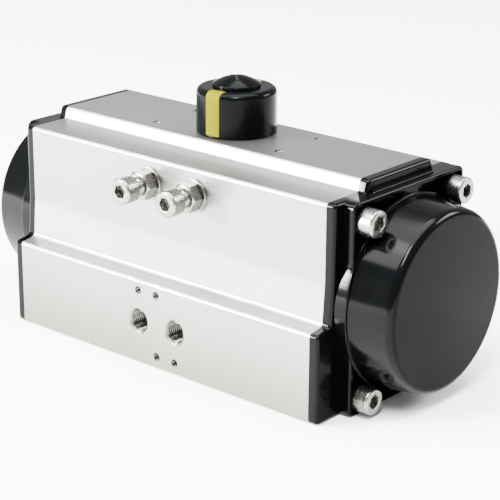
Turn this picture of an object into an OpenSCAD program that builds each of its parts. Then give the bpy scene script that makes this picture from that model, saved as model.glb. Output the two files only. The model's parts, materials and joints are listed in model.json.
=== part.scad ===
// Spring-return rotary pneumatic actuator with two racks on one pinion.
// Origin: pinion axis on the mounting face. X runs along the cylinder, -Y is the side with
// the air ports and stop screws, +Z points to the position indicator. It is drawn closed,
// with both pistons in; the pinion turns 90 degrees counter-clockwise to open.

/* [Body] */
// Length of the extruded body without its end caps
body_l = 192; // [188:1:200]
// Height from the mounting face to the top land
body_h = 109.5; // [109:0.5:112]
// Height of the shoulders beside the top land
shoulder_z = 103.5; // [103:0.5:104]
// Half width of the upper part at the port side
upper_y = 48.5; // [48:0.5:50]
// Half width of the upper part at the back
back_y = 42.5; // [42:0.5:44]
// Half width of the lower part at the back
waist_y = 51; // [50.5:0.5:52]
// Height at which the leaning part of the port side ends
bend_z = 66; // [62:1:70]
// Distance from the pinion axis to the port face
port_y = 59; // [58:0.5:62]
// Height of the block that carries the ports
port_block_z = 43.9; // [43:0.1:45]
// Half width of the top land
land_y = 24; // [22:0.5:24]
// Radius of the body's outer edges
edge_r = 2; // [1:0.5:3]

/* [Cylinder] */
// Radius of the bore
bore_r = 41.5; // [41:0.5:42]
// Height of the bore's axis
bore_z = 51; // [50.5:0.5:51.5]

/* [End caps] */
// Thickness of the flange against the body
flange_t = 5; // [4.5:0.5:6]
// Thickness of the screw plate
plate_t = 6; // [5.5:0.5:7]
// Half width of the screw plate
plate_y = 42.5; // [42:0.5:44]
// Radius of the ring at the dome's foot
dome_foot_r = 48; // [47.5:0.5:48.5]
// Radius of the dome beside that ring
dome_r = 46.8; // [46:0.2:47]
// Radius of the dome beside its rounded rim
dome_end_r = 44.6; // [44:0.2:46]
// Radius of the rounded rim
dome_rim = 4; // [3:0.5:5]
// Distance from the pinion axis to the outer end of a dome
dome_end = 131; // [129:0.5:134]
// Radius of the hollow inside a cap
cap_hollow_r = 39; // [38:0.5:39.5]
// Screw places from the centre plane
cap_screw_y = 34; // [33.5:0.5:34]
// Heights of the lower and upper cap screws
cap_screw_z = [8, 94];

/* [Gearing] */
// Gear module
gear_m = 1.5; // [1.5:0.5:1.5]
// Number of pinion teeth
teeth = 20; // [20:2:20]
// Quarter turn of the pinion in degrees
turn = 90; // [80:5:90]

/* [Air ports] */
// Distance between the two ports
port_gap = 24; // [24:1:26]
// Height of the ports
port_z = 22.3; // [22:0.1:22.5]
// Core radius of a G1/4 thread
port_r = 5.7; // [5.7:0.1:6]
// Distance between the two rows of valve screws
valve_gap = 32; // [31:1:32]

/* [Stop screws] */
// Half of the distance between the stop screws
stop_half = 14.8; // [14:0.2:15]
// Distance of their middle from the pinion axis
stop_shift = 1.4; // [0:0.2:1.6]
// Height of the stop screws
stop_z = 90.5; // [90:0.5:90.5]
// Outer end of each stop screw
stop_end = 69; // [68:0.5:71]

/* [Indicator] */
// Radius of the indicator cup
cup_r = 20; // [19.5:0.5:21]
// Height of the indicator cup
cup_h = 22.7; // [22:0.1:24]
// Angle of the first yellow insert
cup_angle = -85.5; // [-95:0.5:-80]
// Width of an insert
insert_w = 8; // [7:0.5:10]

/* [Hidden] */
$fn = 96;

e = 1;             // how far a cutter runs past the face it opens
fit = 0.05;        // radial clearance of running and seated pieces
half_l = body_l / 2;
flange_x = half_l + flange_t;
plate_x = flange_x + plate_t;

// body details
m5_core = 2.1;
m6_core = 2.5;
m8_core = 3.4;
m8_r = 4;
m5_depth = 8;
m6_depth = 9;
m8_depth = 13;
cap_thread_depth = 22;
iso_f07_r = 35;
iso_f05_r = 25;
spigot_r = 17.5;       // centring recess in the mounting face
spigot_t = 3;
top_x = 40;            // accessory pattern on the top land
top_y = 15;
channel_y = 41;        // long air channel in the front wall
channel_z = 19;
channel_r = 2.5;
cross_x = 90.5;        // where the channel enters the outer chambers
cross_r = 1.7;
plug_x = 92.5;
pocket_r = 25;         // round pocket for the stop cam
pocket_z = [84, 96];
shoulder_foot = 2;     // how far the land's sides lean
back_edge_r = 3;
back_lean_z = [56, 76];  // where the back leans in
ledge_y = 50;          // inner end of the ledge above the port block
ledge_z = 45.3;
ledge_r = 2;
port_depth = 12;
port_chamfer = 0.9;
feed_z = 25.6;         // drilling from the first port to the centre chamber
feed_r = 2.5;
branch_z = 21;         // drilling from the second port to the long channel
branch_r = 3;

// cap details
plate_corner = 3.5;
flare_r = 12;          // hollow corners between the plate and the dome
rim_w = 2;             // rim around the screw pockets
pocket_floor = plate_x - 3.8;
web_z = [17, 85];      // the pockets lie below and above these heights
boss_r = 6.7;
sunk_seat = 100;       // seats of the left cap's screws
sink_r = 6.8;
head_r = 6.5;
head_h = 8;
socket_r = 3.46;       // 6 mm hexagon across its corners
lip_t = 0.8;
ridge_y = 22.5;        // step below the end of the top land
ridge_x = 103.7;
ridge_z = 104.4;
seal_r = [42.5, 45.5];
seal_t = 2.4;
hollow_x = 126.5;

// gearing
pitch_r = gear_m * teeth / 2;
tip_r = pitch_r + gear_m;
root_r = pitch_r - 1.25 * gear_m;
base_r = pitch_r * cos(20);
pitch = PI * gear_m;
gear_z = [34, 68];
rack_z = [36, 66];
play = 0.2;            // half of the tooth play, in degrees of pinion turn
rack_play = 0.05;
rack_teeth = [-7, 2];
rack_end = -36;
stroke = pitch_r * turn * PI / 180;

// pistons
head_x = [52, 64.5];
piston_r = 41.3;
band_x = [53.5, 58.5];
band_r = 39.4;
ring_x = 61.5;
ring_r = 1.45;
leg_r = 40.6;
pad_x = [-30, -6];
pad_z = [44, 58];
pad_r = 38.5;

// springs
spring_off = 16.3;
spring_r = 9.3;
wire_r = 1.2;
spring_turns = 7;
seat_t = 2;
seat_r = 10.8;
stub_r = 6.5;
stub_h = 6;

// shaft
journal_r = 15;
neck_r = 13;
shaft_r = 11;
stub_end_r = 9;
cam_z = [85, 95];
cam_r = 22;
cam_face = 12;
flat_y = 9.3;
bush_z = [5.5, 12.5];
bush_r = 17;
drive_square = 17;
drive_top = 23;        // upper end of the drive socket
pinion_foot = spigot_t + 0.1;
washer_t = 1.5;
clip_t = 1.1;
shaft_step = body_h + 3.7;
shaft_top = body_h + 20;
cup_gap = 0.2;
cup_top = body_h + cup_h;
cup_rim = 3;
insert_t = 1.8;
insert_in = 14;        // inner end of an insert on the top face
knob_r = 11.8;
knob_edge = cup_top + 1.6;
knob_h = 3.8;
knob_seat = cup_top - 0.5;
slot_w = 1.8;
slot_depth = 1.2;

// stop screws
stop_tip = cam_face + 0.1;
stop_washer_r = 8.4;
stop_washer_t = 1.6;
stop_seal_r = 5.7;
stop_seal_t = 1.8;
nut_t = 6.5;
nut_r = 13 / sqrt(3);

// Points of an arc that rounds corner b of the path a, b, c.
function corner(a, b, c, r, steps = 6) =
    let (
        p = [b.x, b.y],
        u = ([a.x, a.y] - p) / norm([a.x, a.y] - p),
        v = ([c.x, c.y] - p) / norm([c.x, c.y] - p),
        half = acos(u * v) / 2,
        mid = p + (u + v) / norm(u + v) * r / sin(half),
        from = p + u * r / tan(half) - mid,
        to = p + v * r / tan(half) - mid,
        a0 = atan2(from.y, from.x),
        sweep = atan2(from.x * to.y - from.y * to.x, from * to)
    )
    [for (i = [0:steps]) mid + r * [cos(a0 + sweep * i / steps), sin(a0 + sweep * i / steps)]];

// Outline whose corners [x, y, radius] are rounded; a radius of 0 stays sharp.
function rounded(path) = [
    for (i = [0:len(path) - 1])
        let (n = len(path), a = path[(i + n - 1) % n], b = path[i], c = path[(i + 1) % n])
        each (b.z == 0 ? [[b.x, b.y]] : corner(a, b, c, b.z))
];

// Section of the body across the cylinder, as [y, z].
body_section = rounded([
    [-port_y, 0, edge_r],
    [waist_y, 0, edge_r],
    [waist_y, back_lean_z[0], 0],
    [back_y, back_lean_z[1], 0],
    [back_y, shoulder_z, back_edge_r],
    [land_y + shoulder_foot, shoulder_z, 1],
    [land_y, body_h, edge_r],
    [-land_y, body_h, edge_r],
    [-land_y - shoulder_foot, shoulder_z, 1],
    [-upper_y, shoulder_z, edge_r],
    [-upper_y, bend_z, 0],
    [-ledge_y, ledge_z, ledge_r],
    [-port_y, port_block_z, edge_r]
]);

// Outline of the screw plate's rectangle, drawn in by an inset.
function plate_outline(inset, r) = rounded([
    [-plate_y + inset, inset, r],
    [plate_y - inset, inset, r],
    [plate_y - inset, shoulder_z - inset, r],
    [-plate_y + inset, shoulder_z - inset, r]
]);

// Fillets where the sides of the plate run into the ring at the dome's foot.
module plate_flares() {
    mid = [plate_y + flare_r, sqrt((dome_foot_r + flare_r) ^ 2 - (plate_y + flare_r) ^ 2)];
    foot = mid * dome_foot_r / (dome_foot_r + flare_r);
    for (s = [-1, 1], t = [-1, 1]) translate([0, bore_z]) scale([s, t]) difference() {
        polygon([[plate_y - e, mid.y], mid, foot, [plate_y - e, foot.y]]);
        translate(mid) circle(r = flare_r);
    }
}

module along_x(x0, x1) {
    translate([x0, 0, 0]) rotate([90, 0, 90]) linear_extrude(x1 - x0) children();
}

module rod_x(r, x0, x1, y = 0, z = bore_z) {
    translate([x0, y, z]) rotate([0, 90, 0]) cylinder(r = r, h = x1 - x0);
}

module rod_y(r, y0, y1, x, z) {
    translate([x, y1, z]) rotate([90, 0, 0]) cylinder(r = r, h = y1 - y0);
}

module rod_z(r, z0, z1, x = 0, y = 0) {
    translate([x, y, z0]) cylinder(r = r, h = z1 - z0);
}

module ring_z(r_in, r_out, z0, z1) {
    difference() {
        rod_z(r_out, z0, z1);
        rod_z(r_in, z0 - e, z1 + e);
    }
}

module ring_about_x(r_in, r_out, x0, x1) {
    difference() {
        rod_x(r_out, x0, x1);
        rod_x(r_in, x0 - e, x1 + e);
    }
}

module spun_about_x() {
    translate([0, 0, bore_z]) rotate([0, 90, 0]) rotate_extrude() children();
}

module left_side() {
    mirror([1, 0, 0]) children();
}

module half_turn() {
    rotate([0, 0, 180]) children();
}

module each_side() {
    for (s = [-1, 1]) translate([stop_shift + s * stop_half, 0, 0]) children();
}

// --- housing ---------------------------------------------------------------

module cap_screw_places() {
    for (y = [-cap_screw_y, cap_screw_y], z = cap_screw_z) translate([0, y, z]) children();
}

module mounting_holes() {
    for (a = [45:90:315]) rotate([0, 0, a]) {
        rod_z(m8_core, -e, m8_depth, iso_f07_r);
        rod_z(m6_core, -e, m6_depth, iso_f05_r);
    }
    rod_z(spigot_r, -e, spigot_t);
}

module shaft_holes() {
    rod_z(bush_r, 0, bore_z);
    rod_z(pocket_r, pocket_z[0], pocket_z[1]);
    rod_z(neck_r, bore_z, body_h + e);
}

module air_passages() {
    for (s = [-1, 1]) {
        rod_y(port_r, -port_y - e, -port_y + port_depth, s * port_gap / 2, port_z);
        translate([s * port_gap / 2, -port_y - e, port_z]) rotate([-90, 0, 0])
            cylinder(r1 = port_r + port_chamfer + e, r2 = port_r, h = port_chamfer + e);
    }
    rod_y(feed_r, -port_y + port_depth - e, -bore_r / 2, -port_gap / 2, feed_z);
    rod_y(branch_r, -port_y + port_depth - e, -channel_y + 1, port_gap / 2, branch_z);
    rod_x(channel_r, -half_l - e, half_l + e, -channel_y, channel_z);
    lean = atan2(bore_z - channel_z, channel_y);
    for (s = [-1, 1]) translate([s * cross_x, -channel_y, channel_z])
        rotate([lean, 0, 0]) rod_y(cross_r, 0, 14, 0, 0);
}

module valve_holes() {
    places = [[-port_gap / 2, 1], [0, 1], [0, -1], [port_gap / 2, -1]];
    for (p = places) rod_y(m5_core, -port_y - e, -port_y + m5_depth, p.x, port_z + p.y * valve_gap / 2);
}

module body() {
    color([0.86, 0.86, 0.85]) difference() {
        along_x(-half_l, half_l) polygon(body_section);
        rod_x(bore_r, -half_l - e, half_l + e);
        mounting_holes();
        shaft_holes();
        air_passages();
        valve_holes();
        for (x = [-top_x, top_x], y = [-top_y, top_y]) rod_z(m5_core, body_h - m5_depth, body_h + e, x, y);
        each_side() {
            rod_y(m8_r, -upper_y - e, -pocket_r / 2, 0, stop_z);
            rod_y(stop_seal_r, -upper_y - e, -upper_y + stop_seal_t, 0, stop_z);
        }
        for (x = [-half_l - e, half_l - cap_thread_depth]) cap_screw_places()
            rod_x(m8_core, x, x + cap_thread_depth + e, 0, 0);
    }
}

module channel_plugs() {
    color([0.7, 0.7, 0.72]) for (x = [-half_l, plug_x])
        rod_x(channel_r - fit, x, x + half_l - plug_x, -channel_y, channel_z);
}

// --- end caps --------------------------------------------------------------

// Half section of the dome, as [radius, x].
dome_section = concat(
    [[0, flange_x - e], [dome_foot_r, flange_x - e], [dome_foot_r, plate_x + lip_t]],
    [[dome_r, plate_x + lip_t]],
    [for (a = [0:15:90])
        [dome_end_r - dome_rim + dome_rim * cos(a), dome_end - 0.5 - dome_rim + dome_rim * sin(a)]],
    [[0, dome_end]]
);

module screw_pockets() {
    difference() {
        intersection() {
            polygon(plate_outline(rim_w, plate_corner - rim_w));
            for (z = [[rim_w, web_z[0]], [web_z[1], shoulder_z]])
                translate([-plate_y, z[0]]) square([2 * plate_y, z[1] - z[0]]);
        }
        translate([0, bore_z]) circle(r = dome_foot_r);
    }
}

// Cap at the +X end whose screw heads sit at x = seat, sunk if that is below the plate.
module end_cap(seat) {
    difference() {
        union() {
            along_x(half_l, flange_x) polygon(body_section);
            difference() {
                along_x(flange_x - e, plate_x) {
                    polygon(plate_outline(0, plate_corner));
                    plate_flares();
                }
                along_x(pocket_floor, plate_x + e) screw_pockets();
            }
            along_x(flange_x - e, ridge_x) translate([-ridge_y, shoulder_z - e])
                square([2 * ridge_y, ridge_z - shoulder_z + e]);
            cap_screw_places() rod_x(boss_r, flange_x, plate_x, 0, 0);
            spun_about_x() polygon(dome_section);
            rod_x(piston_r, half_l - 1.5, flange_x);
        }
        rod_x(cap_hollow_r, half_l - 1.5 - e, hollow_x);
        ring_about_x(seal_r[0], seal_r[1], half_l - e / 2, half_l + seal_t);
        cap_screw_places() rod_x(m8_r + 0.3, half_l - e, plate_x + e, 0, 0);
        if (seat < plate_x) cap_screw_places() rod_x(sink_r, seat, plate_x + e, 0, 0);
    }
}

module end_cap_right() {
    color([0.05, 0.05, 0.06]) end_cap(plate_x);
}

module end_cap_left() {
    color([0.05, 0.05, 0.06]) left_side() end_cap(sunk_seat);
}

module cap_seal() {
    ring_about_x(seal_r[0] + fit, seal_r[1] - fit, half_l + fit, half_l + seal_t - fit);
}

module cap_seal_right() {
    color([0.1, 0.1, 0.1]) cap_seal();
}

module cap_seal_left() {
    color([0.1, 0.1, 0.1]) left_side() cap_seal();
}

// Socket head screw along +X with its head's seat at x = 0.
module socket_screw(thread_r, clear_l, thread_l) {
    difference() {
        rod_x(head_r, 0, head_h, 0, 0);
        rotate([90, 0, 90]) translate([0, 0, head_h - 4]) cylinder(r = socket_r, h = 4 + e, $fn = 6);
    }
    rod_x(m8_r - fit, -clear_l, 0, 0, 0);
    rod_x(thread_r, -clear_l - thread_l, -clear_l + e / 2, 0, 0);
}

module cap_screws(seat) {
    translate([seat, 0, 0]) cap_screw_places()
        socket_screw(m8_core - fit, seat - half_l - 0.2, 18);
}

module cap_screws_right() {
    color([0.75, 0.75, 0.73]) cap_screws(plate_x);
}

module cap_screws_left() {
    color([0.75, 0.75, 0.73]) left_side() cap_screws(sunk_seat);
}

// --- pistons ---------------------------------------------------------------

rack_outline = concat(
    [[rack_end, -bore_r], [rack_end, -pitch_r - 1.25 * gear_m]],
    [for (k = [rack_teeth[0]:rack_teeth[1]], s = [-1, 1])
        let (
            half = pitch / 4 - rack_play,
            foot = [half + 1.25 * gear_m * tan(20), -pitch_r - 1.25 * gear_m],
            top = [half - gear_m * tan(20), -pitch_r + gear_m]
        )
        each (s < 0
            ? [[k * pitch - foot.x, foot.y], [k * pitch - top.x, top.y]]
            : [[k * pitch + top.x, top.y], [k * pitch + foot.x, foot.y]])],
    [[head_x[0] + e, -pitch_r - 1.25 * gear_m], [head_x[0] + e, -bore_r]]
);

module pad_shape(gap) {
    difference() {
        intersection() {
            rod_x(bore_r - fit + gap, pad_x[0] - gap, pad_x[1] + gap);
            translate([pad_x[0] - gap, -bore_r - e, pad_z[0] - gap])
                cube([pad_x[1] - pad_x[0] + 2 * gap, bore_r / 2, pad_z[1] - pad_z[0] + 2 * gap]);
        }
        rod_x(pad_r - gap, pad_x[0] - e, pad_x[1] + e);
    }
}

module piston() {
    difference() {
        union() {
            rod_x(piston_r, head_x[0], head_x[1]);
            intersection() {
                translate([0, 0, rack_z[0]]) linear_extrude(rack_z[1] - rack_z[0])
                    polygon(rack_outline);
                rod_x(leg_r, rack_end - e, head_x[0] + 2 * e);
            }
        }
        ring_about_x(band_r, bore_r + e, band_x[0], band_x[1]);
        ring_about_x(bore_r - fit - 2 * ring_r - 0.05, bore_r + e, ring_x - 1.5, ring_x + 1.5);
        pad_shape(fit);
    }
}

module piston_seal() {
    spun_about_x() translate([bore_r - fit - ring_r, ring_x]) circle(r = ring_r, $fn = 24);
}

module guide_band() {
    ring_about_x(band_r + fit, bore_r - fit, band_x[0] + fit, band_x[1] - fit);
}

module piston_right() {
    color([0.62, 0.62, 0.64]) piston();
}

module piston_left() {
    color([0.62, 0.62, 0.64]) half_turn() piston();
}

module piston_seal_right() {
    color([0.1, 0.1, 0.1]) piston_seal();
}

module piston_seal_left() {
    color([0.1, 0.1, 0.1]) half_turn() piston_seal();
}

module guide_band_right() {
    color([0.85, 0.83, 0.75]) guide_band();
}

module guide_band_left() {
    color([0.85, 0.83, 0.75]) half_turn() guide_band();
}

module guide_pad_right() {
    color([0.85, 0.83, 0.75]) pad_shape(0);
}

module guide_pad_left() {
    color([0.85, 0.83, 0.75]) half_turn() pad_shape(0);
}

// --- springs ---------------------------------------------------------------

spring_x = [head_x[1] + seat_t, hollow_x - seat_t];

// Coil along +X from 0 to length, with its end turns lying flat.
module coil(length) {
    rings = 14 * spring_turns;
    sides = 6;
    flat = 0.09;
    function rise(s) = min(1, max(0, (s - flat) / (1 - 2 * flat)));
    points = [for (i = [0:rings], k = [0:sides - 1])
        let (
            turned = 360 * spring_turns * i / rings,
            around = 360 * k / sides,
            r = spring_r + wire_r * cos(around),
            x = wire_r + (length - 2 * wire_r) * rise(i / rings) + wire_r * sin(around)
        )
        [x, r * cos(turned), r * sin(turned)]];
    walls = [for (i = [0:rings - 1], k = [0:sides - 1])
        let (a = i * sides + k, b = i * sides + (k + 1) % sides)
        each [[a, b, b + sides], [a, b + sides, a + sides]]];
    ends = [[for (k = [sides - 1:-1:0]) k], [for (k = [0:sides - 1]) rings * sides + k]];
    polyhedron(points, concat(walls, ends));
}

module spring_places() {
    for (y = [-spring_off, spring_off], z = [-spring_off, spring_off])
        translate([0, y, bore_z + z]) children();
}

module springs() {
    spring_places() translate([spring_x[0] + fit, 0, 0]) coil(spring_x[1] - spring_x[0] - 2 * fit);
}

// Spring seat with its stub along +X and its back at x = 0.
module spring_seat() {
    rod_x(seat_r, 0, seat_t, 0, 0);
    rod_x(stub_r, seat_t - e, seat_t + stub_h, 0, 0);
}

module piston_spring_seats() {
    translate([head_x[1], 0, 0]) spring_places() spring_seat();
}

module cap_spring_seats() {
    translate([hollow_x, 0, 0]) spring_places() mirror([1, 0, 0]) spring_seat();
}

module springs_right() {
    color([0.25, 0.27, 0.3]) springs();
}

module springs_left() {
    color([0.25, 0.27, 0.3]) half_turn() springs();
}

module piston_spring_seats_right() {
    color([0.2, 0.2, 0.22]) piston_spring_seats();
}

module piston_spring_seats_left() {
    color([0.2, 0.2, 0.22]) half_turn() piston_spring_seats();
}

module cap_spring_seats_right() {
    color([0.2, 0.2, 0.22]) cap_spring_seats();
}

module cap_spring_seats_left() {
    color([0.2, 0.2, 0.22]) half_turn() cap_spring_seats();
}

// --- pinion ----------------------------------------------------------------

function inv(a) = tan(a) * 180 / PI - a;
function flank(r) = 90 / teeth - play + inv(20) - inv(acos(min(1, base_r / r)));

flank_r = [for (i = [0:4]) base_r + (tip_r - base_r) * i / 4];

gear_outline = [for (t = [0:teeth - 1])
    let (middle = (t + 0.5) * 360 / teeth)
    each concat(
        [root_r * [cos(middle - flank(base_r)), sin(middle - flank(base_r))]],
        [for (r = flank_r) r * [cos(middle - flank(r)), sin(middle - flank(r))]],
        [for (i = [len(flank_r) - 1:-1:0])
            let (r = flank_r[i]) r * [cos(middle + flank(r)), sin(middle + flank(r))]],
        [root_r * [cos(middle + flank(base_r)), sin(middle + flank(base_r))]]
    )];

module pinion() {
    color([0.55, 0.56, 0.58]) difference() {
        union() {
            rod_z(journal_r - fit, pinion_foot, gear_z[0]);
            translate([0, 0, gear_z[0] - e / 2])
                linear_extrude(gear_z[1] - gear_z[0] + e / 2) polygon(gear_outline);
            rod_z(neck_r - 0.5, gear_z[1] - e, cam_z[0]);
            intersection() {
                rod_z(shaft_r - fit, cam_z[0] - e, cam_z[1]);
                translate([-shaft_r, -flat_y, 0]) cube([2 * shaft_r, 2 * flat_y, cam_z[1]]);
            }
            rod_z(shaft_r - fit, cam_z[1], shaft_step);
            rod_z(stub_end_r, shaft_step - e, shaft_top);
        }
        for (a = [0, 45]) rotate([0, 0, a]) translate([-drive_square / 2, -drive_square / 2, 0])
            cube([drive_square, drive_square, drive_top]);
        rod_z(m6_core, shaft_step + 1, shaft_top + e);
        translate([-shaft_r, -2, shaft_top - 4]) cube([2 * shaft_r, 4, 4 + e]);
        difference() {
            rod_z(shaft_r + e, body_h + washer_t + fit, body_h + washer_t + 2 * fit + clip_t);
            rod_z(shaft_r - 0.8, body_h, body_h + 4);
        }
    }
}

module stop_cam() {
    color([0.7, 0.7, 0.72]) difference() {
        translate([0, 0, cam_z[0] + fit]) linear_extrude(cam_z[1] - cam_z[0] - fit) union() {
            circle(r = neck_r);
            intersection() {
                circle(r = cam_r);
                union() {
                    translate([0, -cam_face]) square(cam_r + cam_face + e);
                    translate([-cam_face, 0]) square(cam_r + cam_face + e);
                }
            }
        }
        intersection() {
            rod_z(shaft_r, cam_z[0] - e, cam_z[1] + e);
            translate([-shaft_r, -flat_y - fit, cam_z[0] - e])
                cube([2 * shaft_r, 2 * (flat_y + fit), cam_z[1] - cam_z[0] + 2 * e]);
        }
    }
}

module upper_bearing() {
    color([0.9, 0.88, 0.8]) ring_z(shaft_r, neck_r - fit, pocket_z[1] + 1, pocket_z[1] + 8);
}

module lower_bearing() {
    color([0.9, 0.88, 0.8]) ring_z(journal_r, bush_r - fit, bush_z[0], bush_z[1]);
}

module upper_shaft_seal() {
    color([0.1, 0.1, 0.1]) ring_z(shaft_r, neck_r - fit, pocket_z[1] + 8.5, pocket_z[1] + 10.5);
}

module lower_shaft_seal() {
    color([0.1, 0.1, 0.1]) ring_z(journal_r, bush_r - fit, spigot_t + 0.6, bush_z[0] - 0.1);
}

module thrust_disc() {
    color([0.9, 0.88, 0.8]) ring_z(shaft_r + fit, cam_r - 2, cam_z[1] + fit, pocket_z[1] - fit);
}

module thrust_washer() {
    color([0.72, 0.72, 0.73]) ring_z(shaft_r + fit, 16, body_h, body_h + washer_t);
}

module retaining_ring() {
    z0 = body_h + washer_t + 1.5 * fit;
    color([0.5, 0.5, 0.52]) difference() {
        ring_z(shaft_r - 0.75, 13.5, z0, z0 + clip_t);
        translate([0, -3, z0 - e]) cube([15, 6, clip_t + 2 * e]);
    }
}

// --- position indicator ----------------------------------------------------

// Half section of the cup's outside, drawn in by an inset, as [radius, z].
function cup_section(inset) = concat(
    [[0, body_h + cup_gap], [cup_r - inset, body_h + cup_gap]],
    [for (a = [0:15:90]) [
        cup_r - cup_rim + (cup_rim - inset) * cos(a),
        cup_top - cup_rim + (cup_rim - inset) * sin(a)
    ]],
    [[0, cup_top - inset]]
);

module insert_block(angle, gap) {
    rotate([0, 0, angle]) translate([insert_in - gap, -insert_w / 2 - gap, body_h + 1 - gap])
        cube([cup_r, insert_w + 2 * gap, cup_h + e]);
}

module insert_pair(angle) {
    difference() {
        intersection() {
            rotate_extrude() polygon(cup_section(0));
            for (a = [angle, angle + 180]) insert_block(a, 0);
        }
        rotate_extrude() polygon(cup_section(insert_t));
    }
}

module indicator_cup() {
    color([0.06, 0.06, 0.06]) difference() {
        rotate_extrude() polygon(cup_section(0));
        rod_z(17, body_h, shaft_step + 0.3);
        rod_z(stub_end_r + fit, body_h, shaft_top + 0.5);
        rod_z(3.2, body_h, cup_top + e);
        rod_z(knob_r + 0.1, knob_seat, cup_top + e);
        difference() {
            for (a = [0:90:270]) insert_block(cup_angle + a, fit);
            rotate_extrude() polygon(cup_section(insert_t + fit));
        }
    }
}

module yellow_inserts() {
    color([0.93, 0.9, 0.1]) insert_pair(cup_angle);
}

module black_inserts() {
    color([0.09, 0.09, 0.09]) insert_pair(cup_angle + 90);
}

module indicator_screw() {
    bulge = (knob_r * knob_r + knob_h * knob_h) / (2 * knob_h);
    color([0.07, 0.07, 0.07]) {
        difference() {
            intersection() {
                translate([0, 0, knob_edge + knob_h - bulge]) sphere(r = bulge, $fn = 192);
                rod_z(knob_r, knob_seat, knob_edge + knob_h + e);
            }
            rotate([0, 0, -45]) translate([-6, -slot_w / 2, knob_edge + knob_h - slot_depth])
                cube([12, slot_w, slot_depth + e]);
        }
        rod_z(m6_core - fit, shaft_step + 5, knob_seat + e / 2);
    }
}

// --- stop screws -----------------------------------------------------------

module stop_screw() {
    translate([0, 0, stop_z]) rotate([0, 0, -90]) {
        translate([stop_end - head_h, 0, 0]) difference() {
            rod_x(head_r, 0, head_h, 0, 0);
            rotate([90, 0, 90]) translate([0, 0, head_h - 4])
                cylinder(r = socket_r, h = 4 + e, $fn = 6);
        }
        rod_x(m8_r - fit, stop_tip, stop_end - head_h + e, 0, 0);
    }
}

module stop_screw_right() {
    color([0.75, 0.75, 0.73]) translate([stop_shift + stop_half, 0, 0]) stop_screw();
}

module stop_screw_left() {
    color([0.75, 0.75, 0.73]) translate([stop_shift - stop_half, 0, 0]) stop_screw();
}

module stop_nuts() {
    nut_y = -upper_y - stop_washer_t - nut_t;
    color([0.78, 0.78, 0.76]) each_side() difference() {
        translate([0, nut_y + nut_t, stop_z]) rotate([90, 0, 0]) cylinder(r = nut_r, h = nut_t, $fn = 6);
        rod_y(m8_r, nut_y - e, nut_y + nut_t + e, 0, stop_z);
    }
}

module stop_washers() {
    color([0.78, 0.78, 0.76]) each_side() difference() {
        rod_y(stop_washer_r, -upper_y - stop_washer_t, -upper_y, 0, stop_z);
        rod_y(m8_r + 0.2, -upper_y - stop_washer_t - e, -upper_y + e, 0, stop_z);
    }
}

module stop_seals() {
    color([0.1, 0.1, 0.1]) each_side() difference() {
        rod_y(stop_seal_r - fit, -upper_y + fit, -upper_y + stop_seal_t - fit, 0, stop_z);
        rod_y(m8_r + fit, -upper_y - e, -upper_y + stop_seal_t + e, 0, stop_z);
    }
}

body();
channel_plugs();
end_cap_left();
end_cap_right();
cap_seal_left();
cap_seal_right();
cap_screws_left();
cap_screws_right();
piston_left();
piston_right();
piston_seal_left();
piston_seal_right();
guide_band_left();
guide_band_right();
guide_pad_left();
guide_pad_right();
springs_left();
springs_right();
cap_spring_seats_left();
cap_spring_seats_right();
piston_spring_seats_left();
piston_spring_seats_right();
pinion();
stop_cam();
upper_bearing();
lower_bearing();
upper_shaft_seal();
lower_shaft_seal();
thrust_disc();
thrust_washer();
retaining_ring();
indicator_cup();
yellow_inserts();
black_inserts();
indicator_screw();
stop_screw_left();
stop_screw_right();
stop_nuts();
stop_washers();
stop_seals();
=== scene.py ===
"""Looks of a rack-and-pinion rotary actuator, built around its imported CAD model.

Lengths are in millimetres until a piece is made. The outside comes from the CAD nodes' boxes,
and each section below names its own smaller sizes.
"""
import json
import math

import bmesh
import bpy
from mathutils import Matrix, Vector


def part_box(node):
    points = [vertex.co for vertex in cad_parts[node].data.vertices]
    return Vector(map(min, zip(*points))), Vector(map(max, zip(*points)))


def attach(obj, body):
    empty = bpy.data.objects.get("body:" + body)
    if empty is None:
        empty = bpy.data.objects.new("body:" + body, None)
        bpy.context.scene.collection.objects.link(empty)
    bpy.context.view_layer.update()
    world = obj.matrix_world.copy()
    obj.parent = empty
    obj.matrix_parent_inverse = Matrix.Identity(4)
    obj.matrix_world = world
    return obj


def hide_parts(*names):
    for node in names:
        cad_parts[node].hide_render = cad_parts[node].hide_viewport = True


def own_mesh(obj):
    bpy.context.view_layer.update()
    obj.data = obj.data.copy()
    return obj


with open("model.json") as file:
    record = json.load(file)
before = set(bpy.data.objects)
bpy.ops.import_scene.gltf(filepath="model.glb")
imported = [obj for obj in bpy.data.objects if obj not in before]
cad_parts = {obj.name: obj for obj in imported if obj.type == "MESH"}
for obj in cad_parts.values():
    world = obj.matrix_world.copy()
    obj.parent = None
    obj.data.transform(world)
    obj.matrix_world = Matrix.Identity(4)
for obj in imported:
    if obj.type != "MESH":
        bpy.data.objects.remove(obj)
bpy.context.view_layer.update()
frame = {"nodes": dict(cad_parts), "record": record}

NODES = frame["nodes"]
MM = 0.001


def box(node):
    """Lowest and highest corner of a CAD node, in millimetres."""
    low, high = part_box(node)
    return low / MM, high / MM


BODY_LOW, BODY_HIGH = box("body")
HALF_L = BODY_HIGH.x
FRONT_Y, BACK_Y = BODY_LOW.y, BODY_HIGH.y
TOP_Z = BODY_HIGH.z
BORE_Z = sum(end.z for end in box("piston_seal_right")) / 2


# --- shapes ------------------------------------------------------------------

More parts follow.
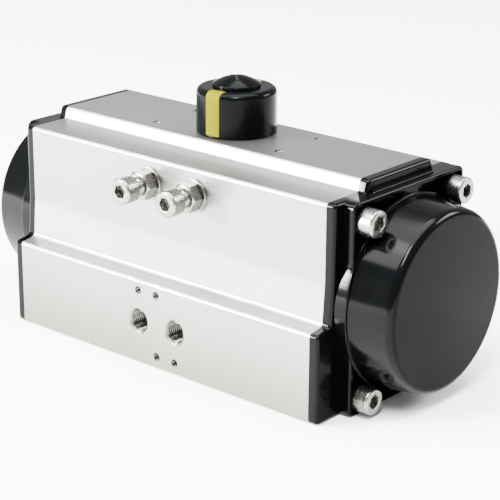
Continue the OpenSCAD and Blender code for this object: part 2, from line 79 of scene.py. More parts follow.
def corner(a, b, c, radius, steps):
    """Points of an arc that rounds corner b of the path a, b, c."""
    u, v = (a - b).normalized(), (c - b).normalized()
    half = u.angle(v) / 2
    middle = b + (u + v).normalized() * (radius / math.sin(half))
    start = b + u * (radius / math.tan(half)) - middle
    end = b + v * (radius / math.tan(half)) - middle
    first = math.atan2(start.y, start.x)
    sweep = math.atan2(start.x * end.y - start.y * end.x, start.dot(end))
    return [
        middle + radius * Vector((math.cos(first + sweep * i / steps), math.sin(first + sweep * i / steps)))
        for i in range(steps + 1)
    ]


def rounded(path, steps=8):
    """Closed outline whose corners (x, y, radius) are rounded; a radius of 0 stays sharp."""
    points = []
    for i, (x, y, radius) in enumerate(path):
        a, b, c = (Vector(path[k % len(path)][:2]) for k in (i - 1, i, i + 1))
        points += corner(a, b, c, radius, steps) if radius else [b]
    return points


def arc(centre, radius, start, end, steps):
    """Points of an arc between two angles in degrees."""
    angles = [math.radians(start + (end - start) * i / steps) for i in range(steps + 1)]
    return [Vector((centre[0] + radius * math.cos(t), centre[1] + radius * math.sin(t))) for t in angles]


def stitch(bm, rings, closed=False):
    """Faces between neighbouring rings. A ring of one vertex ends in a point, closed adds end faces."""
    for a, b in zip(rings, rings[1:]):
        steps = max(len(a), len(b))
        for i in range(steps if steps > 1 else 0):
            j = (i + 1) % steps
            face = [a[0]] if len(a) == 1 else [a[i], a[j]]
            face += [b[0]] if len(b) == 1 else [b[j], b[i]]
            bm.faces.new(face)
    if closed:
        bm.faces.new(rings[0])
        bm.faces.new(rings[-1])


def prism(bm, outline, x0, x1):
    """A solid between x0 and x1 whose section is the (y, z) outline."""
    rings = [[bm.verts.new((x, p[0], p[1])) for p in outline] for x in (x0, x1)]
    stitch(bm, rings, closed=True)


def inset(outline, depth):
    """The outline drawn in by a depth."""
    moved = []
    for i, point in enumerate(outline):
        before = (point - outline[i - 1]).normalized()
        after = (outline[(i + 1) % len(outline)] - point).normalized()
        inward = Vector((-before.y - after.y, before.x + after.x)).normalized()
        spread = max(0.5, inward.dot(Vector((-before.y, before.x))))
        moved.append(point + inward * (depth / spread))
    return moved


def slab(bm, outline, x0, x1, round0, round1, steps=5):
    """A prism between x0 and x1 whose two rims are rounded."""
    turns = [math.pi / 2 * k / steps for k in range(steps + 1)]
    lower = reversed(turns) if round0 else [0]
    sections = [(x0 + round0 * (1 - math.sin(t)), round0 * (1 - math.cos(t))) for t in lower]
    sections += [(x1 - round1 * (1 - math.sin(t)), round1 * (1 - math.cos(t))) for t in turns]
    rings = [[bm.verts.new((x, p.x, p.y)) for p in inset(outline, depth)] for x, depth in sections]
    stitch(bm, rings, closed=True)


def ring(bm, x, steps, reach):
    """Vertices around +X at x; reach(angle) is each one's distance from the axis."""
    turns = [2 * math.pi * i / steps for i in range(steps)]
    return [bm.verts.new((x, reach(t) * math.cos(t), reach(t) * math.sin(t))) for t in turns]


def lathe(bm, section, steps=96, wave=None):
    """A surface turned about +X from (radius, x) points. wave(angle, radius, x) changes a radius."""
    rings = []
    for radius, x in section:
        if radius == 0:
            rings.append([bm.verts.new((x, 0, 0))])
        elif wave:
            rings.append(ring(bm, x, steps, lambda turn: wave(turn, radius, x)))
        else:
            rings.append(ring(bm, x, steps, lambda turn: radius))
    stitch(bm, rings)


def hexagon(turn, flats):
    """Distance from the middle of a hexagon to its edge, where flats is its width across them."""
    return flats / 2 / math.cos(turn % (math.pi / 3) - math.pi / 6)


def smooth(mesh, angle=32):
    mesh.polygons.foreach_set("use_smooth", [True] * len(mesh.polygons))
    mesh.set_sharp_from_angle(angle=math.radians(angle))


def make_object(name, bm):
    """Turns mesh code in millimetres into an object in metres."""
    bm.transform(Matrix.Scale(MM, 4))
    bmesh.ops.recalc_face_normals(bm, faces=bm.faces)
    mesh = bpy.data.meshes.new(name)
    bm.to_mesh(mesh)
    bm.free()
    obj = bpy.data.objects.new(name, mesh)
    bpy.context.scene.collection.objects.link(obj)
    return obj


def piece(name, bm, body, material, replaces=(), place=None, angle=32):
    """A visible piece that rides on a CAD body; place is a matrix in millimetres."""
    if place is not None:
        bm.transform(place)
    obj = make_object(name, bm)
    smooth(obj.data, angle)
    obj.data.materials.append(material)
    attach(obj, body)
    if replaces:
        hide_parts(*replaces)
    return obj


def copy_into(bm, part):
    """Adds a part's geometry to bm and frees the part."""
    mesh = bpy.data.meshes.new("part")
    part.to_mesh(mesh)
    part.free()
    bm.from_mesh(mesh)
    bpy.data.meshes.remove(mesh)


def soften(obj, width, angle=30, segments=3):
    """Joins split corners and flat faces, then rounds the sharp edges, in millimetres."""
    weld = obj.modifiers.new("weld", "WELD")
    weld.merge_threshold = 0.002 * MM
    flat = obj.modifiers.new("flat", "DECIMATE")
    flat.decimate_type = "DISSOLVE"
    flat.angle_limit = math.radians(1)
    round_edges(obj, width, angle, segments)


def round_edges(obj, width, angle=30, segments=3):
    bevel = obj.modifiers.new("bevel", "BEVEL")
    bevel.width = width * MM
    bevel.segments = segments
    bevel.limit_method = "ANGLE"
    bevel.angle_limit = math.radians(angle)
    even_shading(obj)


def even_shading(obj):
    """Keeps large flat faces flat beside small rounded ones."""
    weighted = obj.modifiers.new("weighted", "WEIGHTED_NORMAL")
    weighted.keep_sharp = True
    weighted.weight = 80


def cut(obj, tools, keep=False):
    """Takes the tools' volume out of obj, and removes the tools unless they are kept."""
    for tool in tools:
        modifier = obj.modifiers.new("cut", "BOOLEAN")
        modifier.operation = "DIFFERENCE"
        modifier.solver = "EXACT"
        modifier.object = tool
    settled = bpy.data.meshes.new_from_object(obj.evaluated_get(bpy.context.evaluated_depsgraph_get()))
    obj.modifiers.clear()
    obj.data = settled
    if not keep:
        for tool in tools:
            bpy.data.objects.remove(tool)


# --- camera and studio -------------------------------------------------------

def aim_camera():
    """A long lens from the front right, a little above."""
    azimuth, elevation, roll = math.radians(40.973), math.radians(19.236), math.radians(0.288)
    distance = 0.88619
    back = Vector((
        math.sin(azimuth) * math.cos(elevation),
        -math.cos(azimuth) * math.cos(elevation),
        math.sin(elevation),
    ))
    level = Vector((math.cos(azimuth), math.sin(azimuth), 0))
    upright = back.cross(level)
    right = math.cos(roll) * level + math.sin(roll) * upright
    up = -math.sin(roll) * level + math.cos(roll) * upright
    target = Vector((0, 0, 0.06)) + 0.006864 * right - 0.012669 * up
    camera = bpy.data.objects.new("camera", bpy.data.cameras.new("camera"))
    camera.data.lens = 126.48
    camera.data.sensor_width = 36
    camera.data.clip_end = 20
    place = Matrix((right, up, back)).transposed().to_4x4()
    place.translation = target + distance * back
    camera.matrix_world = place
    bpy.context.scene.collection.objects.link(camera)
    bpy.context.scene.camera = camera


def softbox(name, place, aim, size, power):
    light = bpy.data.lights.new(name, "AREA")
    light.shape = "RECTANGLE"
    light.size, light.size_y = size
    light.energy = power
    lamp = bpy.data.objects.new(name, light)
    lamp.location = place
    lamp.rotation_euler = (Vector(aim) - Vector(place)).to_track_quat("-Z", "Y").to_euler()
    bpy.context.scene.collection.objects.link(lamp)


def light_studio():
    world = bpy.data.worlds.new("studio")
    bpy.context.scene.world = world
    world.use_nodes = True
    backdrop = world.node_tree.nodes["Background"]
    backdrop.inputs["Color"].default_value = (1, 1, 1, 1)
    backdrop.inputs["Strength"].default_value = 1.1
    middle = (0, 0, 0.06)
    softbox("overhead", (0.1, 0.0, 2.3), middle, (2.4, 2.0), 250)
    softbox("main", (-0.85, -0.95, 1.9), middle, (1.2, 1.0), 90)
    softbox("key", (-0.945, -1.3, 0.47), middle, (0.26, 0.42), 260)
    softbox("glint", (-0.95, -0.5, 1.1), middle, (0.14, 0.14), 40)
    softbox("crescent", (0.42, -0.55, 1.1), (0.12, 0, 0.07), (0.25, 0.5), 40)
    softbox("back", (1.0, 1.2, 0.85), middle, (0.7, 0.5), 45)


def lay_floor():
    mesh = bpy.data.meshes.new("floor")
    half, below = 3.0, -0.0002
    corners = [(-half, -half, below), (half, -half, below), (half, half, below), (-half, half, below)]
    mesh.from_pydata(corners, [], [(0, 1, 2, 3)])
    floor = bpy.data.objects.new("floor", mesh)
    bpy.context.scene.collection.objects.link(floor)
    floor.data.materials.append(plain_floor())


# --- materials ---------------------------------------------------------------

def new_material(name):
    material = bpy.data.materials.new(name)
    material.use_nodes = True
    tree = material.node_tree
    return material, tree.nodes, tree.links, tree.nodes["Principled BSDF"]


def plain_floor():
    material, _, _, shader = new_material("floor")
    shader.inputs["Base Color"].default_value = (0.9, 0.9, 0.9, 1)
    shader.inputs["Roughness"].default_value = 0.9
    return material


def surface(name, light, dark, metallic, rough, grain=(1, 1, 1), fine=900, coarse=25,
            grain_depth=0.05, dent_depth=0.0, specular=0.5, painted_shade_bands=None, end_shade_specular=None):
    """A finish whose colour, roughness and relief vary at two scales.

    grain stretches the fine pattern: a small value along an axis draws it out into streaks.
    The height pairs (height, multiplier) paint shade into the colour, with a warm painted floor reflection
    low down; faces square to X get a lower end shine, which is painted shade too.
    """
    material, nodes, links, shader = new_material(name)
    shader.inputs["Metallic"].default_value = metallic
    if end_shade_specular is None:
        shader.inputs["Specular IOR Level"].default_value = specular
    else:
        # painted shade on the end faces
        paint_end_shade(nodes, links, shader, specular, end_shade_specular)
    place = nodes.new("ShaderNodeTexCoord")
    stretch = nodes.new("ShaderNodeMapping")
    stretch.inputs["Scale"].default_value = grain
    links.new(place.outputs["Object"], stretch.inputs["Vector"])

    small = nodes.new("ShaderNodeTexNoise")
    small.inputs["Scale"].default_value = fine
    small.inputs["Detail"].default_value = 3
    links.new(stretch.outputs["Vector"], small.inputs["Vector"])
    large = nodes.new("ShaderNodeTexNoise")
    large.inputs["Scale"].default_value = coarse
    large.inputs["Detail"].default_value = 2
    links.new(place.outputs["Object"], large.inputs["Vector"])

    both = nodes.new("ShaderNodeMix")
    both.data_type = "FLOAT"
    both.inputs["Factor"].default_value = 0.45
    links.new(small.outputs["Fac"], both.inputs["A"])
    links.new(large.outputs["Fac"], both.inputs["B"])

    tint = nodes.new("ShaderNodeValToRGB")
    tint.color_ramp.elements[0].position = 0.35
    tint.color_ramp.elements[0].color = (*dark, 1)
    tint.color_ramp.elements[1].position = 0.65
    tint.color_ramp.elements[1].color = (*light, 1)
    links.new(both.outputs["Result"], tint.inputs["Fac"])
    # painted shade: the colour is darkened by height
    if painted_shade_bands:
        shade_by_height(nodes, links, place, tint, shader, painted_shade_bands)
    else:
        links.new(tint.outputs["Color"], shader.inputs["Base Color"])

    gloss = nodes.new("ShaderNodeMapRange")
    gloss.inputs["From Min"].default_value = 0.3
    gloss.inputs["From Max"].default_value = 0.7
    gloss.inputs["To Min"].default_value = rough[0]
    gloss.inputs["To Max"].default_value = rough[1]
    links.new(both.outputs["Result"], gloss.inputs["Value"])
    links.new(gloss.outputs["Result"], shader.inputs["Roughness"])

    relief = nodes.new("ShaderNodeBump")
    relief.inputs["Strength"].default_value = grain_depth
    relief.inputs["Distance"].default_value = 0.1 * MM
    links.new(small.outputs["Fac"], relief.inputs["Height"])
    if dent_depth:
        waves = nodes.new("ShaderNodeBump")
        waves.inputs["Strength"].default_value = dent_depth
        waves.inputs["Distance"].default_value = 1 * MM
        links.new(large.outputs["Fac"], waves.inputs["Height"])
        links.new(waves.outputs["Normal"], relief.inputs["Normal"])
    links.new(relief.outputs["Normal"], shader.inputs["Normal"])
    return material


def shade_by_height(nodes, links, place, tint, shader, painted_shade_bands):
    """Paints shade: multiplies the colour by shade multipliers that blend between heights in millimetres."""
    split = nodes.new("ShaderNodeSeparateXYZ")
    links.new(place.outputs["Object"], split.inputs["Vector"])
    rise = nodes.new("ShaderNodeMapRange")
    rise.inputs["From Max"].default_value = 100 * MM
    links.new(split.outputs["Z"], rise.inputs["Value"])
    ramp = nodes.new("ShaderNodeValToRGB")
    ramp.color_ramp.interpolation = "EASE"
    elements = ramp.color_ramp.elements
    while len(elements) < len(painted_shade_bands):
        elements.new(0.5)
    for element, (height, colour) in zip(elements, painted_shade_bands):
        element.position = height / 100
        element.color = (*colour, 1)
    links.new(rise.outputs["Result"], ramp.inputs["Fac"])
    blend = nodes.new("ShaderNodeMix")
    blend.data_type = "RGBA"
    blend.blend_type = "MULTIPLY"
    blend.inputs["Factor"].default_value = 1
    links.new(tint.outputs["Color"], blend.inputs["A"])
    links.new(ramp.outputs["Color"], blend.inputs["B"])
    links.new(blend.outputs["Result"], shader.inputs["Base Color"])


def paint_end_shade(nodes, links, shader, specular, end_shade_specular):
    """Painted shade: faces square to the cylinder's axis shine less than the moulded sides, so the end faces
    look darker.
    """
    place = nodes.new("ShaderNodeTexCoord")
    split = nodes.new("ShaderNodeSeparateXYZ")
    links.new(place.outputs["Normal"], split.inputs["Vector"])
    size = nodes.new("ShaderNodeMath")
    size.operation = "ABSOLUTE"
    links.new(split.outputs["X"], size.inputs["Value"])
    fade = nodes.new("ShaderNodeMapRange")
    fade.inputs["From Min"].default_value = 0.75
    fade.inputs["From Max"].default_value = 0.98
    fade.inputs["To Min"].default_value = specular
    fade.inputs["To Max"].default_value = end_shade_specular
    links.new(size.outputs["Value"], fade.inputs["Value"])
    links.new(fade.outputs["Result"], shader.inputs["Specular IOR Level"])


def make_materials():
    return {
        # painted shade and a painted warm floor reflection: darker and warmer below 42 mm, darker above 68
        # mm
        "body_aluminium": surface(
            "anodised_painted_shade", (0.37, 0.367, 0.358), (0.33, 0.327, 0.318), 1.0, (0.33, 0.41),
            grain=(0.12, 1, 1), fine=2600, coarse=14, grain_depth=0.12,
            painted_shade_bands=[(0, (0.46, 0.445, 0.36)), (42, (0.71, 0.71, 0.7)), (50, (0.97, 0.97, 0.965)),
                   (60, (0.97, 0.97, 0.97)), (68, (0.7, 0.7, 0.69))]),
        # painted shade: the ends of the caps shine less
        "cap_black": surface(
            "powder_black_painted_shade", (0.0008, 0.001, 0.0011), (0.0004, 0.0005, 0.0006), 0.0, (0.1, 0.16),
            fine=1500, coarse=40, grain_depth=0.03, dent_depth=0.02, specular=0.06, end_shade_specular=0.02),
        "stainless": surface(
            "stainless", (0.24, 0.235, 0.22), (0.17, 0.166, 0.154), 1.0, (0.2, 0.32),
            fine=1800, coarse=120, grain_depth=0.06),
        "steel": surface(
            "plated_steel", (0.3, 0.305, 0.32), (0.22, 0.225, 0.235), 1.0, (0.25, 0.4),
            fine=1500, coarse=90, grain_depth=0.08),
        "cast_aluminium": surface(
            "machined_aluminium", (0.33, 0.33, 0.335), (0.26, 0.26, 0.265), 1.0, (0.3, 0.5),
            fine=1200, coarse=60, grain_depth=0.12),
        "spring_steel": surface(
            "spring_wire", (0.05, 0.055, 0.065), (0.025, 0.028, 0.03), 0.6, (0.3, 0.45),
            fine=1400, coarse=90, grain_depth=0.08),
        "rubber": surface(
            "rubber", (0.004, 0.004, 0.004), (0.002, 0.002, 0.002), 0.0, (0.55, 0.75),
            fine=1600, coarse=80, grain_depth=0.1, specular=0.1),
        "bearing_plastic": surface(
            "bearing_plastic", (0.32, 0.31, 0.27), (0.28, 0.265, 0.225), 0.0, (0.4, 0.55),
            fine=1200, coarse=60, grain_depth=0.06, specular=0.2),
        "black_plastic": surface(
            "matt_black_plastic", (0.004, 0.004, 0.0042), (0.0025, 0.0025, 0.0026), 0.0, (0.3, 0.42),
            fine=1800, coarse=70, grain_depth=0.08, specular=0.15),
        "indicator_black": surface(
            "gloss_black_plastic", (0.001, 0.0013, 0.0013), (0.0006, 0.0008, 0.0008), 0.0, (0.16, 0.24),
            fine=1500, coarse=60, grain_depth=0.02, dent_depth=0.01, specular=0.035),
        "insert_yellow": surface(
            "yellow_plastic", (0.085, 0.083, 0.0), (0.075, 0.073, 0.0), 0.0, (0.5, 0.6),
            fine=1500, coarse=70, grain_depth=0.03, specular=0.0),
    }


def painted_hole_shade():
    """Bare aluminium darkened as painted shade for the inside of the tapped holes, which little light
    reaches.
    """
    return surface(
        "tapped_hole_painted_shade", (0.1, 0.098, 0.086), (0.05, 0.049, 0.042), 1.0, (0.16, 0.26),
        fine=1500, coarse=200, grain_depth=0.08)


def paint_nodes(finishes):
    slots = {s["node"]: s["material_slot"] for s in frame["record"]["subparts"]}
    for name, obj in NODES.items():
        obj.data.materials.clear()
        obj.data.materials.append(finishes[slots[name]])
        smooth(obj.data)


# --- end caps ----------------------------------------------------------------

FLANGE_X, PLATE_X, LIP_X, CAP_END_X = 101.0, 107.0, 107.8, 131.0
SHOULDER_Z = 103.5
WAIST_Y, PLATE_Y = -48.5, 42.5
FOOT_R, FLARE_R, DOME_R = 48.0, 12.0, 46.75
HOLLOW_R, HOLLOW_X = 39.0, 126.5
LEDGE_Y, LEDGE_Z, LEDGE_X = 22.5, (98, 104.4), 103.7
CAP_SCREWS = [(y, z) for y in (-34, 34) for z in (8, 94)]
CAP_HOLE_R, SINK_R = 4.3, 6.8
SUNK_SEAT = 100.0
TOOL_X = (90, 120)    # cutting tools pass right through the flange and the plate


def screw_seat(sign):
    """Where the screw heads rest: on the right cap's plate, and sunk in the left one."""
    return PLATE_X if sign > 0 else SUNK_SEAT


def body_outline():
    """Section of the body and of the flanges, as (y, z, corner radius)."""
    return rounded([
        (FRONT_Y, 0, 2), (BACK_Y, 0, 2), (BACK_Y, 56, 0), (PLATE_Y, 76, 0), (PLATE_Y, SHOULDER_Z, 3),
        (26, SHOULDER_Z, 1), (24, TOP_Z, 2.4), (-24, TOP_Z, 2.4), (-26, SHOULDER_Z, 1),
        (WAIST_Y, SHOULDER_Z, 2), (WAIST_Y, 66, 0), (-50, 45.3, 2), (FRONT_Y, 43.9, 2),
    ])


def plate_outline():
    """The screw plate: a rounded rectangle whose sides swell into the ring at the dome's foot."""
    across, reach = PLATE_Y + FLARE_R, FOOT_R + FLARE_R
    rise = math.sqrt(reach ** 2 - across ** 2)
    lean = math.degrees(math.atan2(rise, across))
    corners = [(-PLATE_Y, 0), (PLATE_Y, 0), (PLATE_Y, SHOULDER_Z), (-PLATE_Y, SHOULDER_Z)]
    points = rounded([(y, z, 3.5) for y, z in corners])
    quarter = len(points) // 4
    swell = []
    swell += arc((across, BORE_Z - rise), FLARE_R, 180, 180 - lean, 6)
    swell += arc((0, BORE_Z), FOOT_R, -lean, lean, 24)[1:-1]
    swell += arc((across, BORE_Z + rise), FLARE_R, 180 + lean, 180, 6)
    other = [Vector((-p.x, 2 * BORE_Z - p.y)) for p in swell]
    return points[:2 * quarter] + swell + points[2 * quarter:] + other


def rods(name, places, radius, x0, x1, sides=48):
    """Cutting tools along X."""
    tools = []
    for y, z in places:
        bm = bmesh.new()
        prism(bm, arc((y, z), radius, 0, 360 - 360 / sides, sides - 1), x0, x1)
        tools.append(make_object(name, bm))
    return tools


def screw_pockets():
    """Tools for the hollows around the screws, with a leaning web beside each."""
    floor, above = PLATE_X - 3.8, PLATE_X + 5
    tools = []
    for side in (-1, 1):
        for foot, web in ((2, (28, 14)), (SHOULDER_Z - 2, (84, 89))):
            path = [
                (side * (PLATE_Y - 2), foot, 1.5), (side * (PLATE_Y - 2), web[0], 0.8),
                (side * 30, web[1], 0), (side * 14, web[1], 0), (side * 4, foot, 0.5),
            ]
            bm = bmesh.new()
            prism(bm, rounded(path, 4), floor, above)
            tool = make_object("pocket", bm)
            cut(tool, rods("ring", [(0, BORE_Z)], FOOT_R - 0.4, PLATE_X - 5, PLATE_X + 6, 96))
            tools.append(tool)
    return tools


def make_cap_plates(side, sign, mirror, finish):
    """The flange against the body and the screw plate on it, with their pockets and holes."""
    bm = bmesh.new()
    slab(bm, body_outline(), HALF_L, FLANGE_X, 0.25, 1.6)
    flange = piece("cap_flange_" + side, bm, "housing", finish, ("end_cap_" + side,), mirror)
    bm = bmesh.new()
    slab(bm, plate_outline(), FLANGE_X - 1.5, PLATE_X, 0, 0.9)
    plate = piece("cap_plate_" + side, bm, "housing", finish, (), mirror)
    pockets = screw_pockets()
    holes = rods("bore", [(0, BORE_Z)], HOLLOW_R, *TOOL_X, 96)
    holes += rods("screw", CAP_SCREWS, CAP_HOLE_R, *TOOL_X)
    if sign < 0:
        holes += rods("sink", CAP_SCREWS, SINK_R, SUNK_SEAT, TOOL_X[1])
    for tool in pockets + holes:
        tool.data.transform(mirror)
        if sign < 0:
            tool.data.flip_normals()
    cut(flange, holes, keep=True)
    cut(plate, pockets)
    if sign > 0:
        add_bosses(side, mirror, finish)
    cut(plate, holes)
    for obj in (flange, plate):
        smooth(obj.data, 40)
    even_shading(flange)
    round_edges(plate, 0.5, 40)


def add_bosses(side, mirror, finish):
    """A low cone under each screw head."""
    bm = bmesh.new()
    section = [(6.9, -3.9), (6.75, -0.25), (6.5, 0), (4.4, 0), (4.4, -3.9), (6.9, -3.9)]
    for y, z in CAP_SCREWS:
        part = bmesh.new()
        lathe(part, section, 48)
        part.transform(Matrix.Translation((PLATE_X - 0.02, y, z)))
        copy_into(bm, part)
    even_shading(piece("cap_bosses_" + side, bm, "housing", finish, (), mirror))


def make_cap_ledge(side, mirror, finish):
    """The bar along the flange's upper edge."""
    bm = bmesh.new()
    low, high = LEDGE_Z
    outline = [(-LEDGE_Y, low, 0), (LEDGE_Y, low, 0), (LEDGE_Y, high, 0.8), (-LEDGE_Y, high, 0.8)]
    slab(bm, rounded(outline, 4), FLANGE_X - 1, LEDGE_X, 0, 0.5, 3)
    even_shading(piece("cap_ledge_" + side, bm, "housing", finish, (), mirror))


def make_cap_dome(side, mirror, finish):
    """The spring housing: a ring at its foot, a leaning side, a rounded rim and a slightly domed end."""
    foot = [(FOOT_R, 100.5), (FOOT_R, LIP_X - 0.5), (FOOT_R - 0.15, LIP_X - 0.15), (FOOT_R - 0.5, LIP_X)]
    foot += [(DOME_R + 0.4, LIP_X), (DOME_R + 0.1, LIP_X + 0.1), (DOME_R, LIP_X + 0.4)]
    rim = [(p.x, p.y) for p in arc((40.6, 126.5), 4.0, 4, 88, 10)]
    wide, start = foot[-1]
    wall = [(wide + (rim[0][0] - wide) * k / 6, start + (rim[0][1] - start) * k / 6) for k in range(1, 6)]
    end = [(30, CAP_END_X - 0.28), (15, CAP_END_X - 0.07), (0, CAP_END_X)]
    inside = [(0, HOLLOW_X), (HOLLOW_R - 2, HOLLOW_X), (HOLLOW_R, HOLLOW_X - 2)]
    inside += [(HOLLOW_R, 100.5), foot[0]]
    bm = bmesh.new()
    lathe(bm, foot + wall + rim + end + inside, 144)
    place = mirror @ Matrix.Translation((0, 0, BORE_Z))
    even_shading(piece("cap_dome_" + side, bm, "housing", finish, (), place, 50))


def make_cap(side, sign, finish):
    mirror = Matrix.Scale(sign, 4, (1, 0, 0))
    make_cap_plates(side, sign, mirror, finish)
    make_cap_ledge(side, mirror, finish)
    make_cap_dome(side, mirror, finish)


# --- screws, nuts and washers ------------------------------------------------

M8_CREST, M8_ROOT, M8_PITCH = 3.94, 3.3, 1.25
HEAD_H, HEAD_R = 8.0, 6.5
STOP_TIP_Y, STOP_SHANK_Y, STOP_SEAT_Y = 12.15, 24.2, 61.0    # distances towards the front
STOP_Z = sum(end.z for end in box("stop_screw_left")) / 2
STOPS = {side: sum(end.x for end in box("stop_screw_" + side)) / 2 for side in ("left", "right")}


def screw_head(bm, socket=6.0, depth=4.0, steps=144):
    """A socket head along +X from its seat at x = 0, with a knurled side."""
    def knurled(turn, r, x):
        return r - 0.10 * (0.5 + 0.5 * math.cos(turn * 48)) if 0.9 < x < HEAD_H - 1.3 else r

    outside = [
        (HEAD_R - 0.5, 0), (HEAD_R - 0.1, 0.25), (HEAD_R, 0.7), (HEAD_R, 0.95), (HEAD_R, 2.5),
        (HEAD_R, HEAD_H - 2.5), (HEAD_R, HEAD_H - 1.35), (HEAD_R, HEAD_H - 1.1),
        (HEAD_R - 0.12, HEAD_H - 0.7), (HEAD_R - 0.4, HEAD_H - 0.3),
        (HEAD_R - 0.8, HEAD_H - 0.06), (HEAD_R - 1.1, HEAD_H),
    ]
    mouth = [(0.55, HEAD_H), (0.12, HEAD_H - 0.12), (0, HEAD_H - 0.45), (0, HEAD_H - depth)]
    rings = [[bm.verts.new((0, 0, 0))]]
    for r, x in outside:
        rings.append(ring(bm, x, steps, lambda turn: knurled(turn, r, x)))
    for extra, x in mouth:
        rings.append(ring(bm, x, steps, lambda turn: hexagon(turn, socket) + extra))
    rings.append([bm.verts.new((HEAD_H - depth - 1.2, 0, 0))])
    stitch(bm, rings)


def thread(bm, outer, inner, pitch, x0, x1, steps=48, per_turn=8):
    """A helical thread along X between two radii."""
    count = int((x1 - x0) / pitch * per_turn) + 1
    rings = []
    for k in range(count + 1):
        x = x0 + (x1 - x0) * k / count

        def flank(turn):
            phase = (x / pitch + turn / (2 * math.pi)) % 1
            return inner + (outer - inner) * min(1, max(0, 1.25 * (1 - abs(2 * phase - 1))))

        rings.append(ring(bm, x, steps, flank))
    stitch(bm, rings)


def make_cap_screws(side, sign, finish):
    seat = screw_seat(sign)
    shank, hidden = 4.0, 18
    crest, root = 3.35, 2.9    # in the body's tapped hole, clear of its core
    bm = bmesh.new()
    for k, (y, z) in enumerate(CAP_SCREWS):
        part = bmesh.new()
        screw_head(part)
        lathe(part, [(shank, 0.01), (shank, HALF_L - seat)], 48)
        thread(part, crest, root, M8_PITCH, HALF_L - seat - hidden, HALF_L - seat)
        spin = Matrix.Rotation(math.radians(17 + 23 * k), 4, "X")
        part.transform(Matrix.Translation((seat + 0.02, y, z)) @ spin)
        copy_into(bm, part)
    mirror = Matrix.Scale(sign, 4, (1, 0, 0))
    node = "cap_screws_" + side
    even_shading(piece("socket_screws_" + side, bm, "housing", finish, (node,), mirror, 40))


def along_minus_y(x, y):
    """Places a piece made along +X so that it points to -Y at the stop screws' height."""
    return Matrix.Translation((x, y, STOP_Z)) @ Matrix.Rotation(math.radians(-90), 4, "Z")


def make_stop(side, x, finish):
    bm = bmesh.new()
    head = bmesh.new()
    screw_head(head)
    spin = Matrix.Rotation(math.radians(12 if side == "left" else 4), 4, "X")
    head.transform(Matrix.Translation((STOP_SEAT_Y, 0, 0)) @ spin)
    copy_into(bm, head)
    thread(bm, M8_CREST, M8_ROOT, M8_PITCH, STOP_SHANK_Y - 0.2, STOP_SEAT_Y - 0.6)
    tip = [(0, STOP_TIP_Y), (M8_ROOT - 0.3, STOP_TIP_Y), (M8_ROOT, STOP_TIP_Y + 0.35)]
    lathe(bm, tip + [(M8_ROOT, STOP_SHANK_Y)], 48)
    lathe(bm, [(M8_ROOT, STOP_SEAT_Y - 0.7), (M8_ROOT + 0.3, STOP_SEAT_Y + 0.05)], 48)
    node = "stop_screw_" + side
    place = along_minus_y(x, 0)
    even_shading(piece("travel_" + node, bm, side + "_stop", finish, (node,), place, 40))


def make_stop_nuts(places, finish):
    across, tall = 13.0, 6.5
    thick = 1.6
    chamfer = [(5.95, 0.0), (6.25, 0.12), (6.55, 0.28), (6.9, 0.46), (7.2, 0.64), (7.51, 0.84)]
    nut = [(4.45, 0.0)] + chamfer + [(7.51, 2.5), (7.51, 4.0)]
    nut += [(r, tall - x) for r, x in reversed(chamfer)]
    nut += [(4.45, tall), (4.0, tall - 0.4), (4.0, 0.4), (4.45, 0.0)]
    washer = [(4.3, 0), (8.1, 0), (8.35, 0.12), (8.4, 0.35), (8.4, thick - 0.4), (8.3, thick - 0.15)]
    washer += [(8.05, thick), (4.3, thick), (4.3, 0)]

    def hexagonal(turn, r, x):
        return min(r, hexagon(turn, across))

    nuts, washers = bmesh.new(), bmesh.new()
    for x in places:
        part = bmesh.new()
        lathe(part, nut, 144, hexagonal)
        part.transform(along_minus_y(x, WAIST_Y - thick))
        copy_into(nuts, part)
        part = bmesh.new()
        lathe(part, washer, 96)
        part.transform(along_minus_y(x, WAIST_Y))
        copy_into(washers, part)
    even_shading(piece("lock_nuts", nuts, "housing", finish, ("stop_nuts",), None, 28))
    even_shading(piece("lock_washers", washers, "housing", finish, ("stop_washers",), None, 35))


# --- indicator ---------------------------------------------------------------

CUP_LOW, CUP_HIGH = box("indicator_cup")
CUP_R, CUP_FOOT, CUP_TOP = CUP_HIGH.x, CUP_LOW.z, CUP_HIGH.z
CUP_RIM, CUP_ANGLE = 3.0, -85.5
STRIP_END_R = 14.0    # where the strips stop on the cup's top
KNOB_R, KNOB_EDGE, KNOB_TOP = 11.8, 133.8, 137.6
UPRIGHT = Matrix.Rotation(math.radians(-90), 4, "Y")


def cup_profile(gap):
    """The cup's outside, drawn in by a gap: up the side and over the rounded rim."""
    points = [(CUP_R - gap - 0.35, CUP_FOOT), (CUP_R - gap, CUP_FOOT + 0.35)]
    points += [(CUP_R - gap, CUP_FOOT + 5 * k) for k in (1, 2, 3)]
    rim = arc((CUP_R - CUP_RIM, CUP_TOP - CUP_RIM), CUP_RIM - gap, 0, 90, 10)
    return points + [(p.x, p.y) for p in rim]


def shell_strip(bm, angle, half_width, gap, depth):
    """A strip of the cup's skin: up its side and over its rim. A negative gap cuts past the skin."""
    outer = [p for p in cup_profile(gap) if p[1] >= CUP_FOOT + 0.35]
    outer[0] = (outer[0][0], CUP_FOOT + 1.0)
    outer.append((STRIP_END_R, CUP_TOP - gap))
    under_rim = arc((CUP_R - CUP_RIM, CUP_TOP - CUP_RIM), CUP_RIM - depth, 90, 0, 6)
    inner = [(STRIP_END_R, CUP_TOP - depth)] + [(p.x, p.y) for p in under_rim]
    inner.append((CUP_R - depth, CUP_FOOT + 1.0))
    turned = Matrix.Rotation(math.radians(angle), 3, "Z")
    columns = []
    for k in range(9):
        across = half_width * (k / 4 - 1)
        column = []
        for r, z in outer + inner:
            along = math.sqrt(r * r - across * across) if r > STRIP_END_R + 0.01 else STRIP_END_R
            column.append(bm.verts.new(turned @ Vector((along, across, z))))
        columns.append(column)
    stitch(bm, columns, closed=True)


